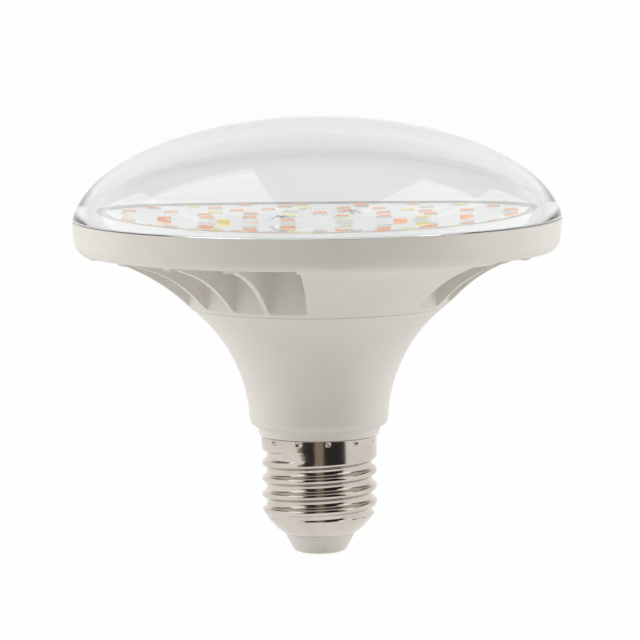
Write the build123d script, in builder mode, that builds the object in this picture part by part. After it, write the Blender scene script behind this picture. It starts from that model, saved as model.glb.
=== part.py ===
"""Grow light bulb: a mushroom-shaped LED lamp with a clear dome and an E27 screw cap.

Millimetres.  +Z points up through the dome, and the origin is the tip of the centre contact.
The front of the lamp, as photographed, faces -Y.
"""

import os
from math import asin, cos, degrees, radians, sin

from build123d import *

# Cap: a standard E27 screw shell
contact_proud = 0.5  # centre contact under the insulator
insulator_height = 4.05  # cone shown under the shell
insulator_top_r = 8.1
insulator_tip_r = 5.9
insulator_edge_r = 0.5
insulator_plug_height = 4.5  # inside the shell
insulator_flange_r = 9.0
insulator_flange_t = 1.4
contact_head_r = 4.6
contact_edge_r = 0.3
contact_stem_r = 1.2
contact_stem_rise = 1.0  # stem shown above the insulator, inside the cap
shell_height = 22.85
shell_wall = 0.55
shell_edge_r = 0.25
shell_shoulder_height = 6.1  # rounded lower end
shell_shoulder_arc = 14.0
thread_major_r = 13.2
thread_depth = 1.0
thread_pitch = 3.629
thread_start = 3.8  # a crest passes +X at this height above the shell's lower end
collar_over = 0.05  # collar past the thread's crests
collar_height = 4.55
collar_neck = 0.9  # slope between the collar and the thread
crimp_count = 12
crimp_start = 10.5  # degrees right of the front
crimp_r = 0.5
crimp_depth = 0.3
crimp_drop = 0.95  # punch marks below the shell's top edge

# Housing: one white moulding, from the spigot in the cap to the rim
wall = 1.8
spigot_depth = 14.0
spigot_wall = 1.6
ring_height = 2.0  # tapered ring between the shell and the neck
ring_cover = 0.5  # ring past the shell's collar
ring_taper = 0.35
neck_height = 27.65
neck_edge = 1.8  # rounding at the foot of the neck
neck_flare_arc = 34.5
flare_r = 29.4  # neck radius at the mould's witness line
fin_zone_height = 12.1
web_flare_arc = 47.0
rim_r = 56.0
rim_lip = 6.4  # underside of the rim, outside the flare
rim_height = 8.0
rim_draft = 0.8  # the rim wall leans in by this much over its height
rim_corner_r = 3.6
rim_wall = 2.2
rim_edge_r = 0.3
witness_width = 0.3
witness_depth = 0.2

# Fins and webs under the rim: three smooth webs, and three zones of four pockets
zone_count = 3
pockets_per_zone = 4
web_angle = 51.0
web_centre = -69.0  # from +X, so the first web shows right of the front
web_wall_angle = 3.5
relief_inset = 0.3  # degrees from a web's edge to the fins' relief
fin_t = 1.3
fin_arc = 31.0
fin_rise = 0.6  # lower end of the fins above the witness line
fin_end_gap = 0.3  # fins step up to the lip this far inside it
lip_rise = 0.75  # rim's lower edge is this much higher between the webs
pocket_step = 1.0  # pockets start this far outside the witness line
pocket_corner_r = 1.3  # at the rim
pocket_root_r = 0.4  # at the neck
pocket_draft = 0.5
floor_t = 1.8

# Dome, LED board and heat sink
dome_height = 23.1
dome_drop = 3.0  # centre of the dome's ellipse under the seam
dome_wall = 2.0
dome_edge = 0.2
dome_foot = 2.8  # the inside is straight this far up from the seam
lip_wall = 0.9  # rim lip outside the dome's tongue
tongue_depth = 1.5
fit_clearance = 0.1
board_drop = 0.7  # LED board's face under the seam
board_inset = 2.8  # board's edge inside the rim
board_t = 1.2
sink_t = 1.3
sink_cup_wall = 1.2
sink_cup_depth = 12.0
sink_clearance = 0.2
led_length = 3.5
led_width = 2.8
led_t = 0.7
led_window_length = 2.5
led_window_width = 2.0
led_window_depth = 0.12
led_edge_gap = 6.0  # outer ring of LEDs inside the board's edge
led_ring_gap = 9.5
led_ring_counts = (20, 12, 18, 8, 3)  # from the outer ring inwards
led_ring_angles = (5.0, 12.5, 16.0, 22.0, -36.0)
led_ring_colours = ("rryrr", "rwrrrr", "ryr", "rrwr", "rry")  # red, yellow and white, repeated round each ring

# Screws and wiring on the LED board
screw_circle_r = 11.5
screw_angle = 46.0
screw_count = 2
screw_r = 1.45
screw_length = 5.0
screw_head_r = 2.65
screw_head_h = 1.1
screw_slot_width = 0.8
screw_slot_length = 3.0
screw_slot_depth = 0.8
screw_hole_clearance = 0.15
burr_wall = 0.8
burr_depth = 1.6
wire_hole_r = 2.4
wire_hole_circle_r = 22.0
wire_r = 0.55
wire_core_r = 0.3  # stripped end, soldered in the LED board
wire_spacing = 3.0
pad_r = 1.1
pad_top_r = 0.7
pad_h = 0.5

# Driver in the neck
driver_t = 1.2
driver_y = -2.5  # mid-plane of the driver board
driver_bottom = 3.0  # board's lower end above the spigot's end
driver_step = 22.0  # shoulder above the spigot's end, resting on the rails
driver_top = 46.0
driver_tongue_w = 15.0
driver_w = 24.0
driver_clearance = 0.05
rail_t = 4.4
rail_cover = 1.4  # rail depth that holds each board edge
rail_foot = 2.5
rail_height = 18.0
capacitor_r = 4.0
capacitor_length = 12.0
output_length = 9.0
capacitor_groove = 0.4
choke_r = 5.0
choke_h = 8.0
choke_core_r = 3.2
choke_flange = 1.2
film_w = 9.0
film_t = 5.0
film_h = 7.0
film_edge_r = 0.8
fuse_r = 1.6
fuse_waist_r = 1.35
fuse_length = 8.0
bridge_w = 6.2
bridge_h = 4.8
bridge_t = 2.3
chip_w = 3.9
chip_h = 4.9
chip_t = 1.5
chip_legs = 4
chip_leg_pitch = 1.27
chip_leg_w = 0.4
chip_leg_span = 1.0
chip_leg_t = 0.3
lead_r = 0.4
part_gap = 1.0  # between neighbouring driver components
lead_spread = 3.0

# Levels, from the tip upwards
insulator_z = contact_proud
shell_end_z = insulator_z + insulator_height
shell_top_z = shell_end_z + shell_height
collar_z = shell_top_z - collar_height
neck_z = shell_top_z + ring_height
flare_z = neck_z + neck_height
rim_z = flare_z + fin_zone_height
seam_z = rim_z + rim_height
board_top_z = seam_z - board_drop
board_z = board_top_z - board_t
sink_z = board_z - sink_t  # top of the housing's floor
pocket_z = sink_z - floor_t  # ceiling of the pockets
spigot_z = shell_top_z - spigot_depth

# Radii that follow
thread_minor_r = thread_major_r - thread_depth
collar_r = thread_major_r + collar_over
bore_r = thread_minor_r - shell_wall
collar_bore_r = collar_r - shell_wall
spigot_r = bore_r - fit_clearance
spigot_bore_r = spigot_r - spigot_wall
ring_bottom_r = collar_r + ring_cover
ring_top_r = ring_bottom_r + ring_taper
neck_bottom_r = ring_top_r + neck_edge
flare_rim_r = rim_r - rim_lip
pocket_in_r = flare_r + pocket_step
pocket_out_r = rim_r - rim_draft - rim_wall
cavity_r = pocket_in_r - wall
rim_in_r = rim_r - rim_wall
board_r = rim_in_r - board_inset
rebate_r = rim_r - lip_wall
sink_r = rim_in_r - sink_clearance
pocket_angle = (360.0 / zone_count - web_angle) / pockets_per_zone
front = -90.0


def round_spot(radius, angle):
    """A place on a circle round the axis."""
    return (radius * cos(radians(angle)), radius * sin(radians(angle)))


screw_spots = [round_spot(screw_circle_r, screw_angle + 360.0 / screw_count * i) for i in range(screw_count)]
wire_hole = round_spot(wire_hole_circle_r, -front)
led_spots = {"r": [], "y": [], "w": []}
led_rings = zip(led_ring_counts, led_ring_angles, led_ring_colours)
for ring, (led_count, led_start, colours) in enumerate(led_rings):
    led_ring_r = board_r - led_edge_gap - led_ring_gap * ring
    for i in range(led_count):
        spot = round_spot(led_ring_r, led_start + 360.0 / led_count * i)
        led_spots[colours[i % len(colours)]].append(spot)

os.makedirs("parts", exist_ok=True)

# Dome cover: a clear shell on an ellipse, with a tongue that drops inside the rim's lip
dome_centre = (0, seam_z - dome_drop)
dome_b = dome_height + dome_drop
dome_a = rim_r / cos(asin(dome_drop / dome_b))
dome_in_b = dome_b - dome_wall
dome_in_a = dome_a - dome_wall
dome_sweep = 90 - degrees(asin((dome_drop + dome_edge) / dome_b))
dome_in_sweep = 90 - degrees(asin((dome_drop + dome_foot) / dome_in_b))
tongue_r = rebate_r - fit_clearance
with BuildPart() as dome_cover:
    with BuildSketch(Plane.XZ):
        with BuildLine():
            outside = EllipticalCenterArc(dome_centre, dome_a, dome_b, 90, arc_size=-dome_sweep)
            inside = EllipticalCenterArc(dome_centre, dome_in_a, dome_in_b, 90, arc_size=-dome_in_sweep)
            Line(outside @ 0, inside @ 0)
            foot_slope = -(inside % 1).X / (inside % 1).Y
            foot_r = (inside @ 1).X + dome_foot * foot_slope
            Polyline(
                inside @ 1,
                (foot_r, seam_z),
                (foot_r, seam_z - tongue_depth),
                (tongue_r, seam_z - tongue_depth),
                (tongue_r, seam_z),
                (rim_r - dome_edge, seam_z),
                outside @ 1,
            )
        make_face()
    revolve(axis=Axis.Z)
dome_cover.part.label = "dome_cover"
export_step(dome_cover.part, "parts/dome_cover.step")

# Driver bay: the hollow inside the housing, less the two rails that hold the driver board
driver_low_z = spigot_z + driver_bottom
driver_step_z = spigot_z + driver_step
driver_top_z = spigot_z + driver_top
rail_in_x = driver_w / 2 - rail_cover
slot_x = driver_w / 2 + driver_clearance
slot_t = driver_t + 2 * driver_clearance
with BuildPart() as driver_bay:
    with BuildSketch(Plane.XZ):
        with BuildLine():
            bay_wall = RadiusArc(
                (neck_bottom_r - wall, neck_z + neck_edge), (cavity_r, flare_z + wall), neck_flare_arc + wall
            )
            Polyline(
                bay_wall @ 1,
                (cavity_r, sink_z),
                (0, sink_z),
                (0, spigot_z),
                (spigot_bore_r, spigot_z),
                (spigot_bore_r, shell_top_z),
                bay_wall @ 0,
            )
        make_face()
    revolve(axis=Axis.Z)
    for side in (-1, 1):
        with BuildSketch(Plane.XY.offset(driver_step_z - rail_foot)):
            with Locations((side * (rail_in_x + pocket_in_r) / 2, driver_y)):
                Rectangle(pocket_in_r - rail_in_x, rail_t)
        extrude(amount=rail_foot + rail_height, mode=Mode.SUBTRACT)
        with BuildSketch(Plane.XY.offset(driver_step_z)):
            with Locations((side * (rail_in_x + slot_x) / 2, driver_y)):
                Rectangle(slot_x - rail_in_x, slot_t)
        extrude(amount=rail_height)

# Housing: spigot, neck, webs, fins and rim in one moulding
with BuildPart() as housing:
    with BuildSketch(Plane.XZ):
        with BuildLine():
            RadiusArc((neck_bottom_r, neck_z + neck_edge), (flare_r, flare_z), neck_flare_arc)
            RadiusArc((flare_r, flare_z), (flare_rim_r, rim_z), web_flare_arc)
            rim_foot = (rim_r - rim_draft, rim_z)
            rim_line = FilletPolyline((flare_rim_r, rim_z), rim_foot, (rim_r, seam_z), radius=rim_corner_r)
            foot = RadiusArc((ring_top_r, neck_z), (neck_bottom_r, neck_z + neck_edge), -neck_edge)
            Polyline(
                rim_line @ 1,
                (rebate_r, seam_z),
                (rebate_r, seam_z - tongue_depth - fit_clearance),
                (rim_in_r, seam_z - tongue_depth - fit_clearance),
                (rim_in_r, sink_z),
                (0, sink_z),
                (0, spigot_z),
                (spigot_r, spigot_z),
                (spigot_r, collar_z),
                (collar_bore_r - fit_clearance, collar_z + collar_bore_r - bore_r),
                (collar_bore_r - fit_clearance, shell_top_z),
                (ring_bottom_r, shell_top_z),
                foot @ 0,
            )
        make_face()
    revolve(axis=Axis.Z)
    fillet(housing.edges().filter_by(GeomType.CIRCLE).sort_by(SortBy.RADIUS)[-1], rim_edge_r)
    # Witness line of the mould round the top of the neck
    with BuildSketch(Plane.XZ):
        with Locations((flare_r, flare_z)):
            Rectangle(2 * witness_depth, witness_width, rotation=45)
    revolve(axis=Axis.Z, mode=Mode.SUBTRACT)
    # Pockets drawn down between thin fins, with the webs left whole
    with BuildSketch(Plane.XY.offset(pocket_z)) as pocket_plan:
        Circle(pocket_out_r)
        Circle(pocket_in_r, mode=Mode.SUBTRACT)
        web_reach = 1.2 * pocket_out_r / cos(radians(web_angle / 2))
        for zone in range(zone_count):
            web_mid = web_centre + 360.0 / zone_count * zone
            with BuildLine():
                Polyline(
                    (0, 0),
                    round_spot(web_reach, web_mid - web_angle / 2),
                    round_spot(web_reach, web_mid + web_angle / 2),
                    close=True,
                )
            make_face(mode=Mode.SUBTRACT)
            for fin in range(1, pockets_per_zone):
                fin_angle = web_mid + web_angle / 2 + pocket_angle * fin
                with Locations(round_spot((pocket_in_r + pocket_out_r) / 2, fin_angle)):
                    Rectangle(1.2 * (pocket_out_r - pocket_in_r), fin_t, rotation=fin_angle, mode=Mode.SUBTRACT)
        pocket_mid_r = (pocket_in_r + pocket_out_r) / 2
        roots = pocket_plan.vertices().filter_by(lambda v: Vector(v).length < pocket_mid_r)
        fillet(roots, pocket_root_r)
        corners = pocket_plan.vertices().filter_by(lambda v: Vector(v).length > pocket_mid_r)
        fillet(corners, pocket_corner_r)
    extrude(amount=flare_z - pocket_z, taper=-pocket_draft, mode=Mode.SUBTRACT)
    # Fins set back between the webs, under a higher lip
    lip_z = rim_z + lip_rise
    fin_end_r = pocket_out_r - fin_end_gap
    relief_out_r = rim_r + rim_wall
    for zone in range(zone_count):
        relief_start = web_centre + 360.0 / zone_count * zone + web_angle / 2 + relief_inset
        with BuildSketch(Plane.XZ.rotated((0, 0, relief_start))):
            with BuildLine():
                fin_line = RadiusArc((pocket_in_r, flare_z + fin_rise), (fin_end_r, rim_z), fin_arc)
                Polyline(
                    fin_line @ 1,
                    (fin_end_r, lip_z),
                    (relief_out_r, lip_z),
                    (relief_out_r, flare_z),
                    (pocket_in_r, flare_z),
                    fin_line @ 0,
                )
            make_face()
        relief_angle = 360.0 / zone_count - web_angle - 2 * relief_inset
        revolve(axis=Axis.Z, revolution_arc=relief_angle, mode=Mode.SUBTRACT)
    # Hollows behind the webs, open to the inside
    for zone in range(zone_count):
        hollow_start = web_centre + 360.0 / zone_count * zone - web_angle / 2 + web_wall_angle
        with BuildSketch(Plane.XZ.rotated((0, 0, hollow_start))):
            with BuildLine():
                hollow = RadiusArc(
                    (cavity_r - wall, flare_z + wall), (flare_rim_r - wall, rim_z + wall), web_flare_arc + wall
                )
                Polyline(hollow @ 1, (flare_rim_r - wall, sink_z), (cavity_r - wall, sink_z), hollow @ 0)
            make_face()
        revolve(axis=Axis.Z, revolution_arc=web_angle - 2 * web_wall_angle, mode=Mode.SUBTRACT)
    add(driver_bay.part, mode=Mode.SUBTRACT)
housing.part.label = "housing"
export_step(housing.part, "parts/housing.step")

# Heat sink: a pressed aluminium plate with a drawn cup and burred screw holes
with BuildPart() as heat_sink:
    with BuildSketch(Plane.XY.offset(sink_z)):
        Circle(sink_r)
    extrude(amount=sink_t)
    with BuildSketch(Plane.XY.offset(sink_z)):
        Circle(cavity_r - sink_clearance)
        Circle(cavity_r - sink_clearance - sink_cup_wall, mode=Mode.SUBTRACT)
    extrude(amount=-sink_cup_depth)
    with BuildSketch(Plane.XY.offset(sink_z)):
        with Locations(*screw_spots):
            Circle(screw_r + burr_wall)
    extrude(amount=-burr_depth)
    with Locations(*[Location((x, y, board_z)) for x, y in screw_spots]):
        Hole(screw_r + driver_clearance, depth=sink_t + burr_depth)
    with Locations((*wire_hole, board_z)):
        Hole(wire_hole_r, depth=sink_t)
heat_sink.part.label = "heat_sink"
export_step(heat_sink.part, "parts/heat_sink.step")

# LED board: a round metal-core board, with two small holes for the wires' stripped ends
core_spots = [(side * wire_spacing / 2, wire_hole[1]) for side in (-1, 1)]
with BuildPart() as led_board:
    with BuildSketch(Plane.XY.offset(board_z)):
        Circle(board_r)
        with Locations(*screw_spots):
            Circle(screw_r + screw_hole_clearance, mode=Mode.SUBTRACT)
        with Locations(*core_spots):
            Circle(wire_core_r + fit_clearance, mode=Mode.SUBTRACT)
    extrude(amount=board_t)
led_board.part.label = "led_board"
export_step(led_board.part, "parts/led_board.step")


def export_leds(spots, label):
    """One group of LED packages, each with a sunk phosphor window."""
    with BuildPart() as leds:
        with BuildSketch(Plane.XY.offset(board_top_z)):
            with Locations(*spots):
                Rectangle(led_length, led_width)
        extrude(amount=led_t)
        with BuildSketch(Plane.XY.offset(board_top_z + led_t)):
            with Locations(*spots):
                Rectangle(led_window_length, led_window_width)
        extrude(amount=-led_window_depth, mode=Mode.SUBTRACT)
    leds.part.label = label
    export_step(leds.part, f"parts/{label}.step")


export_leds(led_spots["r"], "leds_red")
export_leds(led_spots["y"], "leds_yellow")
export_leds(led_spots["w"], "leds_white")

# Board screws: pan heads with a cross recess
with BuildPart() as board_screws:
    head_arc = (screw_head_r**2 + screw_head_h**2) / (2 * screw_head_h)
    with BuildSketch(Plane.XZ) as screw_half:
        with BuildLine():
            crown = RadiusArc((screw_head_r, board_top_z), (0, board_top_z + screw_head_h), -head_arc)
            Polyline(
                crown @ 1,
                (0, board_top_z - screw_length),
                (screw_r, board_top_z - screw_length),
                (screw_r, board_top_z),
                crown @ 0,
            )
        make_face()
    with Locations(*[Location((x, y, 0)) for x, y in screw_spots]):
        add(revolve(screw_half.sketch, axis=Axis.Z, mode=Mode.PRIVATE))
    with BuildSketch(Plane.XY.offset(board_top_z + screw_head_h)):
        with Locations(*screw_spots):
            Rectangle(screw_slot_length, screw_slot_width)
            Rectangle(screw_slot_width, screw_slot_length)
    extrude(amount=-screw_slot_depth, mode=Mode.SUBTRACT)
board_screws.part.label = "board_screws"
export_step(board_screws.part, "parts/board_screws.step")

# Solder joints where the two wires end on the LED board
with BuildPart() as solder_joints:
    with Locations(*[(x, y, board_top_z) for x, y in core_spots]):
        Cone(pad_r, pad_top_r, pad_h, align=(Align.CENTER, Align.CENTER, Align.MIN))
solder_joints.part.label = "solder_joints"
export_step(solder_joints.part, "parts/solder_joints.step")

# Driver board: narrow in the spigot, wide between the rails
driver_face_y = driver_y + driver_t / 2
driver_back_y = driver_y - driver_t / 2
driver_plane = Plane.XZ.offset(-driver_face_y)
with BuildPart() as driver_board:
    with BuildSketch(driver_plane):
        with BuildLine():
            Polyline(
                (driver_tongue_w / 2, driver_low_z),
                (driver_tongue_w / 2, driver_step_z),
                (driver_w / 2, driver_step_z),
                (driver_w / 2, driver_top_z),
                (-driver_w / 2, driver_top_z),
                (-driver_w / 2, driver_step_z),
                (-driver_tongue_w / 2, driver_step_z),
                (-driver_tongue_w / 2, driver_low_z),
                close=True,
            )
        make_face()
    extrude(amount=driver_t)
driver_board.part.label = "driver_board"
export_step(driver_board.part, "parts/driver_board.step")


def export_capacitor(middle, length, label):
    """An electrolytic can lying against the driver board, with its rolled groove."""
    x, y, z = middle
    with BuildPart() as capacitor:
        with Locations((x, y, z)):
            Cylinder(capacitor_r, length)
        fillet(capacitor.edges().filter_by(GeomType.CIRCLE), capacitor_groove)
        with Locations((x, y, z - length / 2 + 4 * capacitor_groove)):
            Torus(capacitor_r, capacitor_groove, mode=Mode.SUBTRACT)
    capacitor.part.label = label
    export_step(capacitor.part, f"parts/{label}.step")


capacitor_x = capacitor_r + part_gap
capacitor_y = driver_face_y + capacitor_r
input_z = driver_step_z + part_gap + capacitor_length / 2
output_z = input_z + capacitor_length / 2 + part_gap + output_length / 2
export_capacitor((capacitor_x, capacitor_y, input_z), capacitor_length, "input_capacitor")
export_capacitor((capacitor_x, capacitor_y, output_z), output_length, "output_capacitor")

# Power choke: a wound drum standing on the driver board
choke_x = -choke_r - part_gap / 2
choke_z = driver_step_z + part_gap + choke_r
with BuildPart() as power_choke:
    with BuildSketch(driver_plane):
        with Locations((choke_x, choke_z)):
            Circle(choke_r)
    extrude(amount=-choke_h)
    with BuildSketch(driver_plane.offset(-choke_flange)):
        with Locations((choke_x, choke_z)):
            Circle(choke_r)
            Circle((choke_core_r + choke_r) / 2, mode=Mode.SUBTRACT)
    extrude(amount=-(choke_h - 2 * choke_flange), mode=Mode.SUBTRACT)
power_choke.part.label = "power_choke"
export_step(power_choke.part, "parts/power_choke.step")

# Film capacitor beside the output capacitor
film_z = choke_z + choke_r + part_gap + film_h / 2
with BuildPart() as film_capacitor:
    with Locations((-film_w / 2 - part_gap / 2, driver_face_y + film_t / 2, film_z)):
        Box(film_w, film_t, film_h)
    fillet(film_capacitor.edges().filter_by(Axis.Y), film_edge_r)
film_capacitor.part.label = "film_capacitor"
export_step(film_capacitor.part, "parts/film_capacitor.step")

# Fuse resistor on the board's tongue
fuse_z = (driver_low_z + driver_step_z) / 2
with BuildPart() as fuse_resistor:
    with Locations((0, driver_face_y + fuse_r, fuse_z)):
        Cylinder(fuse_waist_r, fuse_length)
    with Locations(*[(0, driver_face_y + fuse_r, fuse_z + end * fuse_length * 0.4) for end in (-1, 1)]):
        Cylinder(fuse_r, fuse_length * 0.2)
fuse_resistor.part.label = "fuse_resistor"
export_step(fuse_resistor.part, "parts/fuse_resistor.step")

# Bridge rectifier and control chip on the back of the driver board
bridge_z = driver_step_z - part_gap - bridge_h / 2
with BuildPart() as bridge_rectifier:
    with Locations((0, driver_back_y - bridge_t / 2, bridge_z)):
        Box(bridge_w, bridge_t, bridge_h)
    chamfer(bridge_rectifier.faces().sort_by(Axis.Y)[0].edges(), chip_leg_t)
bridge_rectifier.part.label = "bridge_rectifier"
export_step(bridge_rectifier.part, "parts/bridge_rectifier.step")

chip_z = driver_step_z + part_gap + chip_h
with BuildPart() as control_chip:
    with Locations((0, driver_back_y - chip_t / 2, chip_z)):
        Box(chip_w, chip_t, chip_h)
    with Locations((0, driver_back_y - chip_leg_t / 2, chip_z)):
        with GridLocations(chip_w + chip_leg_span, chip_leg_pitch, 2, 1):
            with Locations(*[(0, 0, chip_leg_pitch * (i - (chip_legs - 1) / 2)) for i in range(chip_legs)]):
                Box(chip_leg_span, chip_leg_t, chip_leg_w)
control_chip.part.label = "control_chip"
export_step(control_chip.part, "parts/control_chip.step")

# Wires from the driver up through the plate to the LED board
wire_start_x = part_gap - wire_spacing / 2 - capacitor_r  # beside the output capacitor
wire_start_z = driver_top_z - 2 * part_gap
wire_turn_z = sink_z - sink_cup_depth / 2


def export_wire(side, label):
    """One insulated wire: off the driver's face, up through the plate, its stripped end in the LED board."""
    hole_x = side * wire_spacing / 2
    hole_y = wire_hole[1]
    with BuildPart() as wire:
        with BuildLine() as route:
            climb = Spline(
                (wire_start_x + hole_x, driver_face_y + wire_r, wire_start_z),
                (hole_x, hole_y, wire_turn_z),
                tangents=((0, 0, 1), (0, 0, 1)),
            )
            Line(climb @ 1, (hole_x, hole_y, board_z))
        with BuildSketch(Plane(origin=climb @ 0, z_dir=climb % 0)):
            Circle(wire_r)
        sweep()
        with Locations((hole_x, hole_y, board_z)):
            Cylinder(wire_core_r, board_t, align=(Align.CENTER, Align.CENTER, Align.MIN))
    wire.part.label = label
    export_step(wire.part, f"parts/{label}.step")


export_wire(1, "lead_positive")
export_wire(-1, "lead_negative")

# Screw shell: thin metal with a rolled E27 thread, a smooth collar and crimp marks
thread_mean_r = (thread_major_r + thread_minor_r) / 2
thread_throw = (thread_major_r - thread_minor_r) / 2
thread_z = shell_end_z + thread_start - 2 * thread_pitch  # starts under the shell, to be trimmed
thread_turns = int((collar_z + collar_height / 2 - thread_z) / thread_pitch)
shoulder_z = shell_end_z + shell_shoulder_height
bore_shoulder_z = shoulder_z - shell_wall - 2 * thread_throw
overrun = 1.0  # cutting profiles pass the ends by this much
with BuildPart() as screw_shell:
    # A disc set off centre and carried round a small helix leaves a rounded thread
    with BuildLine():
        helix = Helix(thread_pitch, thread_pitch * thread_turns, thread_throw, center=(0, 0, thread_z))
    with BuildSketch(Plane.XY.offset(thread_z)):
        with Locations((thread_throw, 0)):
            Circle(thread_mean_r)
    sweep(path=helix, normal=(0, 0, 1))
    with BuildSketch(Plane.XZ):
        with BuildLine():
            collar = FilletPolyline(
                (0, shell_top_z),
                (collar_r, shell_top_z),
                (collar_r, collar_z),
                (thread_minor_r, collar_z - collar_neck),
                (0, collar_z - collar_neck),
                radius=shell_edge_r,
            )
            Line(collar @ 1, collar @ 0)
        make_face()
    revolve(axis=Axis.Z)
    # Rounded lower end, where the thread runs out
    with BuildSketch(Plane.XZ):
        with BuildLine():
            shoulder = RadiusArc(
                (collar_r + fit_clearance, shoulder_z), (insulator_top_r, shell_end_z), shell_shoulder_arc
            )
            Polyline(
                shoulder @ 1,
                (0, shell_end_z),
                (0, shell_top_z + overrun),
                (collar_r + fit_clearance, shell_top_z + overrun),
                shoulder @ 0,
            )
        make_face()
    revolve(axis=Axis.Z, mode=Mode.INTERSECT)
    with BuildSketch(Plane.XZ):
        with BuildLine():
            inner = RadiusArc(
                (bore_r, bore_shoulder_z),
                (insulator_top_r - shell_wall, shell_end_z),
                shell_shoulder_arc - shell_wall,
            )
            Polyline(
                inner @ 1,
                (insulator_top_r - shell_wall, shell_end_z - overrun),
                (0, shell_end_z - overrun),
                (0, shell_top_z + overrun),
                (collar_bore_r, shell_top_z + overrun),
                (collar_bore_r, collar_z + collar_bore_r - bore_r),
                (bore_r, collar_z),
                inner @ 0,
            )
        make_face()
    revolve(axis=Axis.Z, mode=Mode.SUBTRACT)
    with Locations((0, 0, shell_top_z - crimp_drop)):
        with PolarLocations(collar_r + crimp_r - crimp_depth, crimp_count, start_angle=front + crimp_start):
            Sphere(crimp_r, mode=Mode.SUBTRACT)
screw_shell.part.label = "screw_shell"
export_step(screw_shell.part, "parts/screw_shell.step")

# Cap insulator: a cone under the shell, with a plug and a flange inside it
plug_r = insulator_top_r - shell_wall - fit_clearance
insulator_top_z = shell_end_z + insulator_plug_height
flange_z = insulator_top_z - insulator_flange_t
with BuildPart() as cap_insulator:
    with BuildSketch(Plane.XZ):
        with BuildLine():
            Polyline(
                (contact_stem_r, insulator_z),
                (insulator_tip_r, insulator_z),
                (insulator_top_r, shell_end_z),
                (plug_r, shell_end_z),
                (plug_r, flange_z),
                (insulator_flange_r, flange_z),
                (insulator_flange_r, insulator_top_z),
                (contact_stem_r, insulator_top_z),
                close=True,
            )
        make_face()
    revolve(axis=Axis.Z)
    tip_edges = cap_insulator.edges().filter_by(GeomType.CIRCLE).group_by(Axis.Z)[0]
    fillet(tip_edges.sort_by(SortBy.RADIUS)[-1], insulator_edge_r)
cap_insulator.part.label = "cap_insulator"
export_step(cap_insulator.part, "parts/cap_insulator.step")

# Centre contact: a riveted button
stem_top_z = insulator_top_z + contact_stem_rise
with BuildPart() as centre_contact:
    with BuildSketch(Plane.XY):
        Circle(contact_head_r)
    extrude(amount=contact_proud)
    fillet(centre_contact.edges().filter_by(GeomType.CIRCLE).group_by(Axis.Z)[0], contact_edge_r)
    with BuildSketch(Plane.XY.offset(contact_proud)):
        Circle(contact_stem_r)
    extrude(amount=stem_top_z - contact_proud)
centre_contact.part.label = "centre_contact"
export_step(centre_contact.part, "parts/centre_contact.step")


# Leads from the driver down to the contact and to the shell
def export_lead(points, tangents, label):
    """One bare lead through the given points."""
    with BuildPart() as lead:
        with BuildLine():
            route = Spline(*points, tangents=tangents)
        with BuildSketch(Plane(origin=route @ 0, z_dir=route % 0)):
            Circle(lead_r)
        sweep()
    lead.part.label = label
    export_step(lead.part, f"parts/{label}.step")


lead_start_z = driver_low_z + 2 * part_gap
lead_y = driver_face_y + lead_r
export_lead(
    [(-lead_spread, lead_y, lead_start_z), (0, 0, stem_top_z)],
    ((0, 0, -1), (0, 0, -1)),
    "contact_lead",
)
export_lead(
    [(lead_spread, lead_y, lead_start_z), (bore_r - fit_clearance, 0, (insulator_top_z + spigot_z) / 2)],
    ((0, 0, -1), (1, 0, 0)),
    "shell_lead",
)
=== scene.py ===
"""Grow light bulb: finishes, dome, screw shell, LED packages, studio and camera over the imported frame.

Metres.  The frame's +Z points up through the dome, and the photographed front faces -Y.
"""

import math

import bmesh
import bpy
from mathutils import Matrix, Vector


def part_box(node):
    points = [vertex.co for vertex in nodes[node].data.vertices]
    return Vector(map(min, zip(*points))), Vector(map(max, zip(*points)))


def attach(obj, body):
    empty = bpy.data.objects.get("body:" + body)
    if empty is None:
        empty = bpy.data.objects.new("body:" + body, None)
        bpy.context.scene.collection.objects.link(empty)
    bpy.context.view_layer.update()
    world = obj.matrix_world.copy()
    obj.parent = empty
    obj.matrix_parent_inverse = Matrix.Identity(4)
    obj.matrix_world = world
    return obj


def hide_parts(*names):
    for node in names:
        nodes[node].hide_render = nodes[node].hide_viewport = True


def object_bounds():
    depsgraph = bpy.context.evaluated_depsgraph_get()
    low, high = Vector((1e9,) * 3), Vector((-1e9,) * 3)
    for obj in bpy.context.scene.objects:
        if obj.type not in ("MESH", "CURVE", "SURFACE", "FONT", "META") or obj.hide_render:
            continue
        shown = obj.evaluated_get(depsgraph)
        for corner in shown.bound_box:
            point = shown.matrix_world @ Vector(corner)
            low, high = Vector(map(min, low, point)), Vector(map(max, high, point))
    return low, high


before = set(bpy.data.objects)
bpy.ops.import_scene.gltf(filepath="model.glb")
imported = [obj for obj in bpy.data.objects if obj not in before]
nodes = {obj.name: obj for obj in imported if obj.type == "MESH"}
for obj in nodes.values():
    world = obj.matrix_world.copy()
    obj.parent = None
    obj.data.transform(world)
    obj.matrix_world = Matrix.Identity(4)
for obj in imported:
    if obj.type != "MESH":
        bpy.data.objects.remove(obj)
cad_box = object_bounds()
scene = bpy.context.scene
scene.view_settings.view_transform = "Standard"

MM = 0.001

# Levels read from the frame
floor_z = cad_box[0].z
seam_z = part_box("housing")[1].z
dome_top_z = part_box("dome_cover")[1].z
dome_low_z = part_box("dome_cover")[0].z
board_top_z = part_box("led_board")[1].z
shell_end_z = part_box("screw_shell")[0].z

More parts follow.
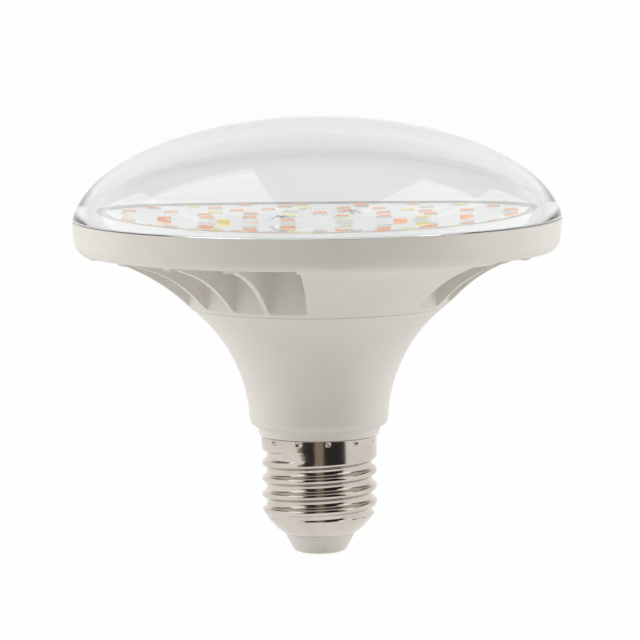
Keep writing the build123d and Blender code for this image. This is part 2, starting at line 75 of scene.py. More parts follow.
# Clear dome
rim_r = 56.0 * MM
dome_drop = 3.0 * MM  # centre of the dome's ellipses under the seam
dome_wall = 2.0 * MM
dome_foot = 3.1 * MM  # the inside is straight this far up from the seam
foot_swell = 0.54 * MM  # the wall swells this much towards the seam
swell_height = 10.0 * MM
dome_edge = 0.2 * MM
lip_wall = 0.9 * MM
fit_clearance = 0.1 * MM
dome_segments = 192
dome_steps = 90
dome_crease = math.radians(12)  # sharper edges than this stay sharp

# Screw shell, with heights above its lower end
shell_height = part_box("screw_shell")[1].z - shell_end_z
shell_foot_r = 8.1 * MM
shell_bore_r = 11.65 * MM
shell_wall = 0.55 * MM
shell_edge = 0.45 * MM  # round of the upper edge
shoulder_height = 6.1 * MM  # rounded lower end
shoulder_arc = 14.0 * MM
bore_drop = 1.0 * MM  # the bore turns in this far under the inside of the shoulder
thread_major_r = 13.2 * MM
thread_pitch = 3.629 * MM
thread_start = 3.6 * MM  # a crest passes +X here
thread_end = 19.0 * MM  # the groove has run out here
thread_runout = 0.7 * MM
crest_round = 0.85 * MM
root_round = 1.2 * MM
collar_over = 0.05 * MM  # collar past the thread's crests
collar_height = 4.55 * MM
crimp_count = 12
crimp_start = math.radians(8.8)  # right of the front
crimp_r = 0.6 * MM
crimp_depth = 0.45 * MM
crimp_drop = 0.95 * MM  # punch marks below the upper edge
shell_segments = 300
shell_steps = 255
edge_steps = 5
shoulder_steps = 8
shell_crease = math.radians(35)

# LED packages
led_length = 3.5 * MM
led_width = 2.8 * MM
led_height = 0.7 * MM

# Soldered ends of a package, as shares of its sides
end_size = (0.12, 0.3, 0.22)
end_out = 0.44
end_apart = 0.22
end_lift = 0.112

# Studio
lamp_middle = (0.0, 0.0, 70.0 * MM)
floor_side = 14.0
floor_glow = 0.965  # share of the floor that is white to the eye, and not shaded
surround_strength = 0.5

# Cards behind the camera and mats on the floor, with bearings in degrees right of the front
card_distance = 1.5
card_height = 1.6
mat_start = 60.0 * MM
mat_lift = 0.5 * MM
left_dark = (-34.0, -9.0)
right_dark = (8.0, 52.0)
middle_brown = (left_dark[1], right_dark[0])
left_brown = (-42.0, left_dark[0])

# Canopy over the lamp
canopy_side = 5.0
canopy_height = 1.5
canopy_back = 1.0
canopy_thin_start = 0.9  # the cloth starts to thin out this far behind the lamp
canopy_thin_end = 3.3  # and has gone this far behind it

# Camera, from the photograph
camera_distance = 1.0
camera_elevation = math.radians(4.8)
camera_pitch = math.radians(6.14)
camera_roll = math.radians(-0.55)
camera_side = 0.45 * MM
camera_lens = 246.0
sensor_width = 36.0


# Node helpers
def new_finish(name):
    """A material, its node tree and its Principled shader."""
    material = bpy.data.materials.new(name)
    material.use_nodes = True
    tree = material.node_tree
    return material, tree, tree.nodes["Principled BSDF"]


def grain(tree, scale, detail=3.0, stretch=(1.0, 1.0, 1.0)):
    """Noise on the piece's own coordinates, at a scale per metre."""
    place = tree.nodes.new("ShaderNodeTexCoord")
    mapping = tree.nodes.new("ShaderNodeMapping")
    mapping.inputs["Scale"].default_value = stretch
    noise = tree.nodes.new("ShaderNodeTexNoise")
    noise.inputs["Scale"].default_value = scale
    noise.inputs["Detail"].default_value = detail
    tree.links.new(place.outputs["Object"], mapping.inputs["Vector"])
    tree.links.new(mapping.outputs["Vector"], noise.inputs["Vector"])
    return noise.outputs["Fac"]


def blend_colours(tree, amount, first, second, target):
    """Runs a colour from first to second by amount."""
    ramp = tree.nodes.new("ShaderNodeValToRGB")
    ramp.color_ramp.elements[0].position = 0.35
    ramp.color_ramp.elements[1].position = 0.65
    ramp.color_ramp.elements[0].color = (*first, 1.0)
    ramp.color_ramp.elements[1].color = (*second, 1.0)
    tree.links.new(amount, ramp.inputs["Fac"])
    tree.links.new(ramp.outputs["Color"], target)


def spread(tree, amount, low, high, target):
    """Spreads an amount between two values."""
    scale = tree.nodes.new("ShaderNodeMapRange")
    scale.inputs["From Min"].default_value = 0.3
    scale.inputs["From Max"].default_value = 0.7
    scale.inputs["To Min"].default_value = low
    scale.inputs["To Max"].default_value = high
    tree.links.new(amount, scale.inputs["Value"])
    tree.links.new(scale.outputs["Result"], target)


def emboss(tree, height, strength, depth, shader):
    """Fine relief on the surface."""
    bump = tree.nodes.new("ShaderNodeBump")
    bump.inputs["Strength"].default_value = strength
    bump.inputs["Distance"].default_value = depth
    tree.links.new(height, bump.inputs["Height"])
    tree.links.new(bump.outputs["Normal"], shader.inputs["Normal"])


def mix_shaders(tree, amount, first, second, output="Material Output"):
    """Goes from the first shader to the second by amount."""
    mix = tree.nodes.new("ShaderNodeMixShader")
    tree.links.new(amount, mix.inputs["Fac"])
    tree.links.new(first.outputs[0], mix.inputs[1])
    tree.links.new(second.outputs[0], mix.inputs[2])
    tree.links.new(mix.outputs["Shader"], tree.nodes[output].inputs["Surface"])


# Finishes
def moulded_plastic(name, dark, light, rough, grain_scale=2600.0):
    """Moulded plastic with a fine spark-eroded grain and a slight mottle."""
    material, tree, shader = new_finish(name)
    blend_colours(tree, grain(tree, 55.0), dark, light, shader.inputs["Base Color"])
    spread(tree, grain(tree, 240.0), rough - 0.05, rough + 0.05, shader.inputs["Roughness"])
    emboss(tree, grain(tree, grain_scale, 2.0), 0.12, 0.02 * MM, shader)
    shader.inputs["IOR"].default_value = 1.49
    return material


def plated_metal(name, dark, light, rough, stretch=(1.0, 1.0, 1.0)):
    """Bright metal with fine handling marks in its gloss."""
    material, tree, shader = new_finish(name)
    shader.inputs["Metallic"].default_value = 1.0
    blend_colours(tree, grain(tree, 160.0), dark, light, shader.inputs["Base Color"])
    wear = grain(tree, 900.0, 4.0, stretch)
    spread(tree, wear, rough * 0.7, rough * 1.5, shader.inputs["Roughness"])
    emboss(tree, grain(tree, 1350.0, 3.0, stretch), 0.04, 0.02 * MM, shader)
    return material


def clear_plastic():
    """Polished clear plastic that lets lamp light through to the board."""
    material, tree, shader = new_finish("clear_dome")
    shader.inputs["Transmission Weight"].default_value = 1.0
    shader.inputs["IOR"].default_value = 1.52
    tint = ((0.90, 0.905, 0.90), (0.92, 0.925, 0.92))
    blend_colours(tree, grain(tree, 30.0), *tint, shader.inputs["Base Color"])
    spread(tree, grain(tree, 120.0), 0.0, 0.02, shader.inputs["Roughness"])
    passing = tree.nodes.new("ShaderNodeBsdfTransparent")
    passing.inputs["Color"].default_value = (0.9, 0.9, 0.9, 1.0)
    path = tree.nodes.new("ShaderNodeLightPath")
    mix_shaders(tree, path.outputs["Is Shadow Ray"], shader, passing)
    return material


def solder_mask(name, dark, light, cell_scale):
    """Solder mask over copper fields, whose edges show as faint lines."""
    material, tree, shader = new_finish(name)
    place = tree.nodes.new("ShaderNodeTexCoord")
    fields = tree.nodes.new("ShaderNodeTexVoronoi")
    fields.feature = "DISTANCE_TO_EDGE"
    fields.inputs["Scale"].default_value = cell_scale
    tree.links.new(place.outputs["Object"], fields.inputs["Vector"])
    edge = tree.nodes.new("ShaderNodeMapRange")
    edge.inputs["From Max"].default_value = 0.04
    tree.links.new(fields.outputs["Distance"], edge.inputs["Value"])
    blend_colours(tree, edge.outputs["Result"], dark, light, shader.inputs["Base Color"])
    spread(tree, grain(tree, 400.0), 0.28, 0.4, shader.inputs["Roughness"])
    emboss(tree, edge.outputs["Result"], 0.25, 0.04 * MM, shader)
    return material


def phosphor(name, dark, light):
    """Phosphor in resin: a grainy colour with a soft gloss."""
    material, tree, shader = new_finish(name)
    blend_colours(tree, grain(tree, 6000.0, 4.0), dark, light, shader.inputs["Base Color"])
    spread(tree, grain(tree, 900.0), 0.5, 0.65, shader.inputs["Roughness"])
    shader.inputs["Specular IOR Level"].default_value = 0.15
    emboss(tree, grain(tree, 5000.0, 2.0), 0.1, 0.01 * MM, shader)
    return material


satin_white = moulded_plastic("satin_white", (0.80, 0.777, 0.738), (0.84, 0.817, 0.778), 0.42)
insulator_white = moulded_plastic("insulator_white", (0.88, 0.86, 0.83), (0.92, 0.90, 0.87), 0.5)
dome_clear = clear_plastic()
# Glue where the dome sits in the rim, made lighter than its own white: painted light that lifts the
# shade in the closed gap.
glued_seam = moulded_plastic("glued_seam", (0.93, 0.93, 0.92), (0.96, 0.96, 0.95), 0.6)
board_mask = solder_mask("board_mask", (0.74, 0.76, 0.77), (0.81, 0.825, 0.83), 130.0)
driver_mask = solder_mask("driver_mask", (0.02, 0.13, 0.05), (0.03, 0.2, 0.08), 400.0)
package_white = moulded_plastic("package_white", (0.90, 0.90, 0.88), (0.94, 0.94, 0.92), 0.35, 5000.0)
salmon_phosphor = phosphor("salmon_phosphor", (0.94, 0.50, 0.34), (0.98, 0.59, 0.43))
yellow_phosphor = phosphor("yellow_phosphor", (0.95, 0.82, 0.34), (0.98, 0.88, 0.45))
cream_phosphor = phosphor("cream_phosphor", (0.88, 0.84, 0.66), (0.92, 0.89, 0.74))
nickel = plated_metal("nickel", (0.57, 0.525, 0.47), (0.65, 0.60, 0.54), 0.14, (1.0, 1.0, 6.0))
contact_plate = plated_metal("contact_plate", (0.72, 0.68, 0.58), (0.80, 0.76, 0.66), 0.22)
bright_zinc = plated_metal("bright_zinc", (0.66, 0.67, 0.68), (0.76, 0.76, 0.76), 0.2)
pressed_aluminium = plated_metal("pressed_aluminium", (0.70, 0.71, 0.72), (0.80, 0.80, 0.81), 0.34)
tin = plated_metal("tin", (0.70, 0.70, 0.70), (0.80, 0.80, 0.79), 0.3)
solder = plated_metal("solder", (0.64, 0.65, 0.66), (0.74, 0.74, 0.75), 0.25)
red_sleeve = moulded_plastic("red_sleeve", (0.42, 0.02, 0.02), (0.50, 0.03, 0.03), 0.38)
black_sleeve = moulded_plastic("black_sleeve", (0.012, 0.012, 0.012), (0.025, 0.025, 0.025), 0.4)
can_sleeve = moulded_plastic("can_sleeve", (0.010, 0.012, 0.018), (0.02, 0.024, 0.034), 0.3)
ferrite_grey = moulded_plastic("ferrite_grey", (0.03, 0.028, 0.028), (0.06, 0.055, 0.055), 0.7, 1800.0)
film_resin = moulded_plastic("film_resin", (0.26, 0.05, 0.02), (0.34, 0.08, 0.03), 0.45)
fuse_coat = moulded_plastic("fuse_coat", (0.10, 0.22, 0.15), (0.15, 0.28, 0.2), 0.5)
chip_epoxy = moulded_plastic("chip_epoxy", (0.010, 0.010, 0.011), (0.022, 0.022, 0.023), 0.55, 4000.0)

node_finishes = {
    "housing": satin_white,
    "cap_insulator": insulator_white,
    "led_board": board_mask,
    "heat_sink": pressed_aluminium,
    "board_screws": bright_zinc,
    "solder_joints": solder,
    "lead_positive": red_sleeve,
    "lead_negative": black_sleeve,
    "driver_board": driver_mask,
    "input_capacitor": can_sleeve,
    "output_capacitor": can_sleeve,
    "power_choke": ferrite_grey,
    "film_capacitor": film_resin,
    "fuse_resistor": fuse_coat,
    "bridge_rectifier": chip_epoxy,
    "control_chip": chip_epoxy,
    "contact_lead": tin,
    "shell_lead": tin,
    "screw_shell": nickel,
    "centre_contact": contact_plate,
    "dome_cover": dome_clear,
    "leds_red": salmon_phosphor,
    "leds_yellow": yellow_phosphor,
    "leds_white": cream_phosphor,
}
for name, finish in node_finishes.items():
    for slot in nodes[name].material_slots:
        slot.material = finish


# Mesh helpers
def add_piece(name, mesh):
    """An object at the origin, whose place is in its mesh."""
    piece = bpy.data.objects.new(name, mesh)
    scene.collection.objects.link(piece)
    return piece


def full_turn(segments):
    """Angles of equal steps once round."""
    return [2 * math.pi * i / segments for i in range(segments)]


def skin_rings(bm, rings):
    """Faces between rings of points, from the first ring to the last."""
    count = len(rings[0])
    for upper, lower in zip(rings, rings[1:]):
        for i in range(count):
            j = (i + 1) % count
            bm.faces.new((upper[i], lower[i], lower[j], upper[j]))


def smooth_mesh(name, bm, crease):
    """The finished mesh, smooth but for edges sharper than a crease."""
    mesh = bpy.data.meshes.new(name)
    bm.to_mesh(mesh)
    bm.free()
    mesh.shade_smooth()
    mesh.set_sharp_from_angle(angle=crease)
    return mesh


# Clear dome: one smooth shell turned from its section
def dome_section():
    """Half of the dome's section, from the outer apex down to the tongue and up to the inner apex."""
    centre_z = seam_z - dome_drop
    outer_b = dome_top_z - centre_z
    outer_a = rim_r / math.cos(math.asin(dome_drop / outer_b))
    inner_b = outer_b - dome_wall
    inner_a = outer_a - dome_wall
    outer_end = math.asin((dome_drop + dome_edge) / outer_b)
    inner_end = math.asin((dome_drop + dome_foot) / inner_b)
    steps = [i / dome_steps for i in range(dome_steps + 1)]
    outer_turns = [math.pi / 2 + (outer_end - math.pi / 2) * t for t in steps]
    inner_turns = [inner_end + (math.pi / 2 - inner_end) * t for t in steps]
    outside = [(outer_a * math.cos(t), centre_z + outer_b * math.sin(t)) for t in outer_turns]
    inside = []
    for t in inner_turns:
        level = inner_b * math.sin(t) - dome_drop
        swell = foot_swell * max(1 - level / swell_height, 0) ** 2
        inside.append((inner_a * math.cos(t) - swell, seam_z + level))
    swell_slope = 2 * foot_swell / swell_height * (1 - dome_foot / swell_height)
    foot_slope = inner_a * math.tan(inner_end) / inner_b - swell_slope
    foot_r = inside[0][0] + dome_foot * foot_slope
    tongue_r = rim_r - lip_wall - fit_clearance
    tongue = [
        (rim_r - dome_edge, seam_z),
        (tongue_r, seam_z),
        (tongue_r, dome_low_z),
        (foot_r, dome_low_z),
        (foot_r, seam_z),
    ]
    return outside + tongue + inside


def turned_dome(name):
    """The closed mesh of the dome, turned about Z from its section."""
    section = dome_section()
    turns = full_turn(dome_segments)
    bm = bmesh.new()
    rings = []
    for radius, z in section[1:-1]:
        rings.append([bm.verts.new((radius * math.cos(t), radius * math.sin(t), z)) for t in turns])
    first = bm.verts.new((0, 0, section[0][1]))
    last = bm.verts.new((0, 0, section[-1][1]))
    for i in range(dome_segments):
        j = (i + 1) % dome_segments
        bm.faces.new((first, rings[0][i], rings[0][j]))
        bm.faces.new((last, rings[-1][j], rings[-1][i]))
    skin_rings(bm, rings)
    return smooth_mesh(name, bm, dome_crease)


def mark_glued_seam(mesh):
    """Gives the faces that are glued into the rim the look of the glue, whose extra whiteness is painted
    light against the shade in that closed gap.
    """
    lowest = [vertex.co for vertex in mesh.vertices if vertex.co.z < dome_low_z + fit_clearance]
    inner_r = min(math.hypot(point.x, point.y) for point in lowest)
    for face in mesh.polygons:
        corners = [mesh.vertices[i].co for i in face.vertices]
        under = max(corner.z for corner in corners) < seam_z + fit_clearance
        outer = max(math.hypot(corner.x, corner.y) for corner in corners) > inner_r + fit_clearance
        if under and outer:
            face.material_index = 1


dome = add_piece("clear_dome", turned_dome("clear_dome"))
dome.data.materials.append(dome_clear)
dome.data.materials.append(glued_seam)
mark_glued_seam(dome.data)
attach(dome, "root")
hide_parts("dome_cover")


# Screw shell: thin metal with a rolled thread, a smooth collar and crimp marks
def thread_fall(rise):
    """How deep the surface lies under the crests, at a height from the middle of a crest."""
    half = thread_pitch / 2
    lean = half / (crest_round + root_round)
    depth = (crest_round + root_round) * (1 - math.sqrt(1 - lean**2))
    off = abs((rise + half) % thread_pitch - half)
    if off < crest_round * lean:
        return crest_round - math.sqrt(crest_round**2 - off**2)
    return depth - root_round + math.sqrt(root_round**2 - (half - off) ** 2)


def within(share):
    """A share kept between nought and one."""
    return min(max(share, 0.0), 1.0)


def bulging_r(start, end, arc, level):
    """Radius at a level on an arc that bulges outwards, down from start to end."""
    half = (Vector(end) - Vector(start)) / 2
    inward = Vector((half.y, -half.x)).normalized() * math.sqrt(arc**2 - half.length_squared)
    centre = (Vector(start) + Vector(end)) / 2 + inward
    return centre.x + math.sqrt(arc**2 - (level - centre.y) ** 2)


def shell_outside(turn, level):
    """Radius of the shell at an angle and a level above its lower end."""
    along = thread_start + thread_pitch * turn / (2 * math.pi)
    rise = level - along
    groove = along + (math.floor(rise / thread_pitch) + 0.5) * thread_pitch
    left = within((thread_end - groove) / thread_runout)
    over = collar_over * within((level - thread_end) / thread_pitch + 0.5)
    radius = thread_major_r + over - thread_fall(rise) * left**2 * (3 - 2 * left)
    if level < shoulder_height:
        shoulder = (thread_major_r + collar_over + fit_clearance, shoulder_height)
        radius = min(radius, bulging_r(shoulder, (shell_foot_r, 0.0), shoulder_arc, level))
    gap = 2 * math.pi / crimp_count
    aside = (turn + math.pi / 2 - crimp_start + gap / 2) % gap - gap / 2
    reach = math.hypot(aside * radius, level - shell_height + crimp_drop) / crimp_r
    return radius - crimp_depth * max(1 - reach**2, 0)


def shell_outside_rows():
    """Level and inset of each row of points, from the upper edge down the outside."""
    rows = []
    for i in range(edge_steps):
        lean = math.pi / 2 * (1 - i / edge_steps)
        level = shell_height - shell_edge * (1 - math.sin(lean))
        rows.append((level, shell_edge * (1 - math.cos(lean))))
    for i in range(shell_steps + 1):
        rows.append(((shell_height - shell_edge) * (1 - i / shell_steps), 0.0))
    return rows


def shell_inside_rows():
    """Radius and level of each row of points, from the lower end up the inside."""
    bore_end = shoulder_height - shell_wall - bore_drop
    bore = (shell_bore_r, bore_end)
    foot = (shell_foot_r - shell_wall, 0.0)
    rows = []
    for i in range(shoulder_steps + 1):
        level = bore_end * i / shoulder_steps
        rows.append((bulging_r(bore, foot, shoulder_arc - shell_wall, level), level))
    collar_bore_r = thread_major_r + collar_over - shell_wall
    collar_end = shell_height - collar_height
    rows.append((shell_bore_r, collar_end))
    rows.append((collar_bore_r, collar_end + collar_bore_r - shell_bore_r))
    rows.append((collar_bore_r, shell_height))
    return rows


def threaded_shell(name):
    """The closed mesh of the screw shell."""
    turns = full_turn(shell_segments)
    rings = []
    for level, inset in shell_outside_rows():
        rings.append([(shell_outside(t, level) - inset, t, level) for t in turns])
    for radius, level in shell_inside_rows():
        rings.append([(radius, t, level) for t in turns])
    bm = bmesh.new()
    skins = []
    for ring in rings:
        points = [(r * math.cos(t), r * math.sin(t), shell_end_z + level) for r, t, level in ring]
        skins.append([bm.verts.new(point) for point in points])
    skin_rings(bm, skins + skins[:1])
    return smooth_mesh(name, bm, shell_crease)


shell = add_piece("threaded_shell", threaded_shell("threaded_shell"))
shell.data.materials.append(nickel)
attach(shell, "root")
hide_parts("screw_shell")


# LED packages: a white base under a slab of phosphor, with soldered ends
def led_package():
    """One package, one unit along each side, standing on z = 0."""
    bm = bmesh.new()
    window = bm.faces.layers.bool.new("window")
    terminal = bm.faces.layers.bool.new("terminal")

    def rectangle(half_x, half_y, z):
        corners = [(-half_x, -half_y), (half_x, -half_y), (half_x, half_y), (-half_x, half_y)]
        return [bm.verts.new((x, y, z)) for x, y in corners]

    def band(lower, upper):
        pairs = [(i, (i + 1) % 4) for i in range(4)]
        return [bm.faces.new((lower[i], lower[j], upper[j], upper[i])) for i, j in pairs]

    foot = rectangle(0.47, 0.5, 0.0)
    shoulder = rectangle(0.47, 0.5, 0.54)
    seat = rectangle(0.44, 0.46, 0.6)
    brow = rectangle(0.43, 0.445, 0.92)
    crown = rectangle(0.40, 0.405, 1.0)
    bm.faces.new(foot[::-1])
    band(foot, shoulder)
    band(shoulder, seat)
    for pane in band(seat, brow) + band(brow, crown) + [bm.faces.new(crown)]:
        pane[window] = True
    for side in (-1, 1):
        for row in (-1, 1):
            block = bmesh.ops.create_cube(bm, size=1.0)["verts"]
            place = Matrix.Translation((side * end_out, row * end_apart, end_lift))
            bmesh.ops.transform(bm, matrix=place @ Matrix.Diagonal((*end_size, 1.0)), verts=block)
            for face in {f for v in block for f in v.link_faces}:
                face[terminal] = True
    mesh = bpy.data.meshes.new("led_package")
    bm.to_mesh(mesh)
    bm.free()
    return mesh


def led_places(node):
    """The middle of each package's underside, two triangles that share their longest side."""
    mesh = nodes[node].data
    places = set()
    for face in mesh.polygons:
        if face.normal.z < -0.9:  # faces down
            corners = [mesh.vertices[i].co for i in face.vertices]
            sides = [(corners[i], corners[i - 1]) for i in range(3)]
            start, end = max(sides, key=lambda side: (side[0] - side[1]).length)
            middle = (start + end) / 2
            places.add((round(middle.x, 6), round(middle.y, 6), board_top_z))
    return sorted(places)


def led_tree():
    """Geometry nodes that stand a package on every point."""
    tree = bpy.data.node_groups.new("led_rows", "GeometryNodeTree")
    sockets = tree.interface
    sockets.new_socket("Geometry", in_out="INPUT", socket_type="NodeSocketGeometry")
    sockets.new_socket("Package", in_out="INPUT", socket_type="NodeSocketObject")
    for side in ("Length", "Width", "Height"):
        sockets.new_socket(side, in_out="INPUT", socket_type="NodeSocketFloat")
    for part in ("Body", "Window", "Terminal"):
        sockets.new_socket(part, in_out="INPUT", socket_type="NodeSocketMaterial")
    sockets.new_socket("Geometry", in_out="OUTPUT", socket_type="NodeSocketGeometry")
    given = tree.nodes.new("NodeGroupInput")
    made = tree.nodes.new("NodeGroupOutput")
    package = tree.nodes.new("GeometryNodeObjectInfo")
    size = tree.nodes.new("ShaderNodeCombineXYZ")
    stand = tree.nodes.new("GeometryNodeInstanceOnPoints")
    real = tree.nodes.new("GeometryNodeRealizeInstances")
    tree.links.new(given.outputs["Package"], package.inputs["Object"])
    for axis, side in zip("XYZ", ("Length", "Width", "Height")):
        tree.links.new(given.outputs[side], size.inputs[axis])
    tree.links.new(given.outputs["Geometry"], stand.inputs["Points"])
    tree.links.new(package.outputs["Geometry"], stand.inputs["Instance"])
    tree.links.new(size.outputs["Vector"], stand.inputs["Scale"])
    tree.links.new(stand.outputs["Instances"], real.inputs["Geometry"])
    shape = real.outputs["Geometry"]
    for part, mark in (("Body", None), ("Window", "window"), ("Terminal", "terminal")):
        coat = tree.nodes.new("GeometryNodeSetMaterial")
        tree.links.new(shape, coat.inputs["Geometry"])
        tree.links.new(given.outputs[part], coat.inputs["Material"])
        if mark:
            marked = tree.nodes.new("GeometryNodeInputNamedAttribute")
            marked.data_type = "BOOLEAN"
            marked.inputs["Name"].default_value = mark
            tree.links.new(marked.outputs["Attribute"], coat.inputs["Selection"])
        shape = coat.outputs["Geometry"]
    tree.links.new(shape, made.inputs["Geometry"])
    return tree


package_master = add_piece("led_package", led_package())
led_rows = led_tree()
led_inputs = [item for item in led_rows.interface.items_tree if item.in_out == "INPUT"]
led_sockets = {item.name: item.identifier for item in led_inputs}


def led_group(name, node, window_finish):
    """All the LEDs of one colour, in place of their CAD node."""
    spots = bpy.data.meshes.new(name + "_spots")
    spots.from_pydata(led_places(node), [], [])
    holder = add_piece(name + "_spots", spots)
    rows = holder.modifiers.new("led_rows", "NODES")
    rows.node_group = led_rows
    settings = {
        "Package": package_master,
        "Length": led_length,
        "Width": led_width,
        "Height": led_height,
        "Body": package_white,
        "Window": window_finish,
        "Terminal": tin,
    }
    for setting, value in settings.items():
        rows[led_sockets[setting]] = value
    graph = bpy.context.evaluated_depsgraph_get()
    mesh = bpy.data.meshes.new_from_object(holder.evaluated_get(graph))
    bpy.data.objects.remove(holder)
    leds = add_piece(name, mesh)
    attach(leds, "root")
    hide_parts(node)


led_group("salmon_leds", "leds_red", salmon_phosphor)
led_group("yellow_leds", "leds_yellow", yellow_phosphor)
led_group("cream_leds", "leds_white", cream_phosphor)
bpy.data.objects.remove(package_master)


# Studio finishes
def seen_as_white(tree):
    """One where a ray from the eye, a mirror or clear plastic looks at it, and nought elsewhere."""
    path = tree.nodes.new("ShaderNodeLightPath")
    either = tree.nodes.new("ShaderNodeMath")
    either.operation = "MAXIMUM"
    tree.links.new(path.outputs["Is Camera Ray"], either.inputs[0])
    tree.links.new(path.outputs["Is Transmission Ray"], either.inputs[1])
    any_of = tree.nodes.new("ShaderNodeMath")
    any_of.operation = "MAXIMUM"
    tree.links.new(either.outputs["Value"], any_of.inputs[0])
    tree.links.new(path.outputs["Is Glossy Ray"], any_of.inputs[1])
    return any_of.outputs["Value"]


def pale_surround():
    """White behind the lamp, and a softer, warmer light from all round."""
    world = bpy.data.worlds.new("pale_surround")
    scene.world = world
    world.use_nodes = True
    tree = world.node_tree
    soft = tree.nodes["Background"]
    soft.inputs["Color"].default_value = (1.0, 0.955, 0.895, 1.0)
    soft.inputs["Strength"].default_value = surround_strength
    white = tree.nodes.new("ShaderNodeBackground")
    white.inputs["Color"].default_value = (1.0, 1.0, 1.0, 1.0)
    white.inputs["Strength"].default_value = 1.0
    mix_shaders(tree, seen_as_white(tree), soft, white, "World Output")


def floor_finish():
    """White to the eye, keeping part of the lamp's shadow."""
    material, tree, shader = new_finish("floor_white")
    paint = ((0.93, 0.93, 0.925), (0.95, 0.95, 0.945))
    blend_colours(tree, grain(tree, 3.0), *paint, shader.inputs["Base Color"])
    shader.inputs["Roughness"].default_value = 0.9
    glow = tree.nodes.new("ShaderNodeEmission")
    glow.inputs["Color"].default_value = (1.0, 1.0, 1.0, 1.0)
    glow.inputs["Strength"].default_value = 1.0
    share = tree.nodes.new("ShaderNodeMath")
    share.operation = "MULTIPLY"
    share.inputs[1].default_value = floor_glow
    tree.links.new(seen_as_white(tree), share.inputs[0])
    mix_shaders(tree, share.outputs["Value"], shader, glow)
    return material


def canopy_finish():
    """Grey cloth over the lamp that thins out towards the back."""
    material, tree, shader = new_finish("canopy_grey")
    cloth = ((0.20, 0.19, 0.17), (0.23, 0.22, 0.20))
    blend_colours(tree, grain(tree, 55.0), *cloth, shader.inputs["Base Color"])
    shader.inputs["Roughness"].default_value = 0.9
    place = tree.nodes.new("ShaderNodeTexCoord")
    axes = tree.nodes.new("ShaderNodeSeparateXYZ")
    tree.links.new(place.outputs["Object"], axes.inputs["Vector"])
    thin = tree.nodes.new("ShaderNodeMapRange")
    thin.interpolation_type = "SMOOTHSTEP"
    thin.inputs["From Min"].default_value = canopy_thin_start
    thin.inputs["From Max"].default_value = canopy_thin_end
    tree.links.new(axes.outputs["Y"], thin.inputs["Value"])
    clear = tree.nodes.new("ShaderNodeBsdfTransparent")
    mix_shaders(tree, thin.outputs["Result"], shader, clear)
    return material


card_black = moulded_plastic("card_black", (0.012, 0.012, 0.012), (0.02, 0.02, 0.02), 0.9)
card_brown = moulded_plastic("card_brown", (0.35, 0.30, 0.25), (0.40, 0.35, 0.29), 0.9)


# Studio: pale floor, softboxes, strip lamps, and the cards, mats and canopy that the lamp mirrors
def studio_sheet(name, corners, finish):
    """A flat sheet of the studio, which isn't part of the lamp."""
    mesh = bpy.data.meshes.new(name)
    mesh.from_pydata(corners, [], [(0, 1, 2, 3)])
    sheet = add_piece(name, mesh)
    sheet.data.materials.append(finish)
    return sheet


def flat_card(name, width, height, place, facing, finish):
    """A flat card with its middle at place, turned to face a point."""
    turn = (Vector(facing) - Vector(place)).to_track_quat("Z", "Y").to_matrix()
    corners = []
    for side, end in ((-0.5, -0.5), (0.5, -0.5), (0.5, 0.5), (-0.5, 0.5)):
        corners.append(Vector(place) + turn @ Vector((side * width, end * height, 0.0)))
    return studio_sheet(name, corners, finish)


def standing_card(name, bearings, finish):
    """A card that stands behind the camera between two bearings."""
    start, end = bearings
    bearing = math.radians((start + end) / 2)
    width = 2 * card_distance * math.tan(math.radians(end - start) / 2)
    place = (card_distance * math.sin(bearing), -card_distance * math.cos(bearing), card_height / 2)
    return flat_card(name, width, card_height, place, (0.0, 0.0, card_height / 2), finish)


def floor_mat(name, bearings, finish):
    """A mat on the floor in front of the lamp, between two bearings."""
    start, end = bearings
    places = ((mat_start, start), (card_distance, start), (card_distance, end), (mat_start, end))
    corners = []
    for reach, bearing in places:
        turn = math.radians(bearing)
        corners.append((reach * math.sin(turn), -reach * math.cos(turn), floor_z + mat_lift))
    return studio_sheet(name, corners, finish)


def out_of_sight(card):
    """Keeps a card from being seen by the camera, straight or through the dome."""
    card.visible_camera = False
    card.visible_transmission = False


def only_mirrored(card):
    """Lets a card show in glossy finishes without shading anything."""
    out_of_sight(card)
    card.visible_diffuse = False
    card.visible_shadow = False


def softbox(name, width, height, place, facing, brightness):
    """A flat studio lamp of a given surface brightness."""
    lamp = bpy.data.lights.new(name, "AREA")
    lamp.shape = "RECTANGLE"
    lamp.size = width
    lamp.size_y = height
    lamp.energy = brightness * math.pi * width * height
    lamp.color = (1.0, 0.995, 0.985)
    holder = bpy.data.objects.new(name, lamp)
    scene.collection.objects.link(holder)
    holder.location = place
    holder.rotation_euler = (Vector(facing) - Vector(place)).to_track_quat("-Z", "Y").to_euler()
    return holder


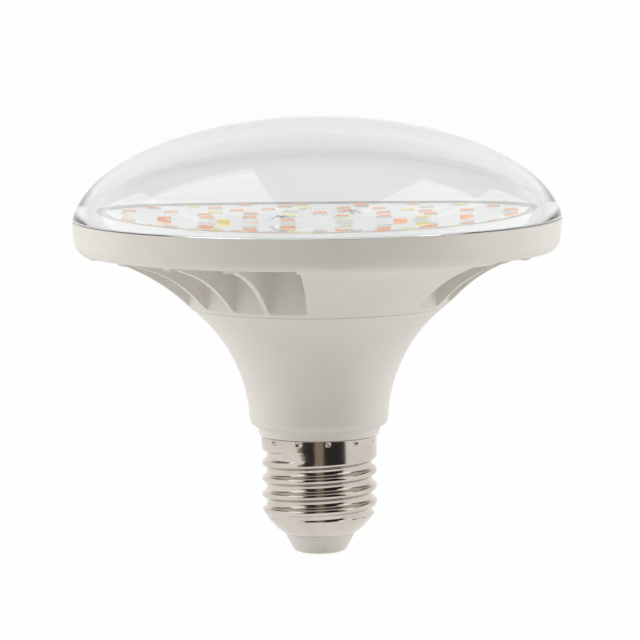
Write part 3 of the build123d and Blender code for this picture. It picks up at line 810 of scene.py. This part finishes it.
def falls_only_on(lamp, piece):
    """Lets a studio lamp fall on one piece alone."""
    group = bpy.data.collections.new(lamp.name + "_falls_on")
    group.objects.link(piece)
    lamp.light_linking.receiver_collection = group


pale_surround()
flat_card("studio_floor", floor_side, floor_side, (0.0, 0.0, floor_z), (0.0, 0.0, 1.0), floor_finish())
for side, sign in (("left", -1), ("right", 1)):
    side_box = softbox(side + "_softbox", 1.3, 1.0, (sign * 0.95, 0.1, 0.37), lamp_middle, 1.33)
    side_box.visible_glossy = False
softbox("left_overhead", 0.7, 0.9, (-0.54, 0.1, 0.95), (-0.54, 0.1, 0.0), 0.8)
right_overhead = softbox("right_overhead", 0.6, 0.9, (0.6, -0.02, 0.95), (0.6, -0.02, 0.0), 0.85)
right_overhead.rotation_euler.rotate_axis("Z", math.radians(-8))
for side, sign in (("left", -1), ("right", 1)):
    strip = softbox(side + "_strip", 0.6, 0.36, (sign * 0.82, -0.47, 0.74), lamp_middle, 1.5)
    falls_only_on(strip, shell)

for side, bearings in (("left", left_dark), ("right", right_dark)):
    out_of_sight(standing_card(side + "_dark_card", bearings, card_black))
    only_mirrored(floor_mat(side + "_dark_mat", bearings, card_black))
only_mirrored(standing_card("middle_card", middle_brown, card_brown))
only_mirrored(floor_mat("middle_mat", middle_brown, card_brown))
only_mirrored(floor_mat("left_mat", left_brown, card_brown))
canopy_place = (0.0, canopy_back, canopy_height)
under_canopy = (0.0, canopy_back, 0.0)
canopy = flat_card("grey_canopy", canopy_side, canopy_side, canopy_place, under_canopy, canopy_finish())
only_mirrored(canopy)

# Camera
eye = bpy.data.cameras.new("photo_camera")
eye.lens = camera_lens
eye.sensor_width = sensor_width
camera = bpy.data.objects.new("photo_camera", eye)
scene.collection.objects.link(camera)
camera.location = (
    camera_side,
    -camera_distance * math.cos(camera_elevation),
    seam_z + camera_distance * math.sin(camera_elevation),
)
camera.rotation_euler = (math.pi / 2 - camera_pitch, 0.0, 0.0)
camera.rotation_euler.rotate_axis("Z", camera_roll)
scene.camera = camera
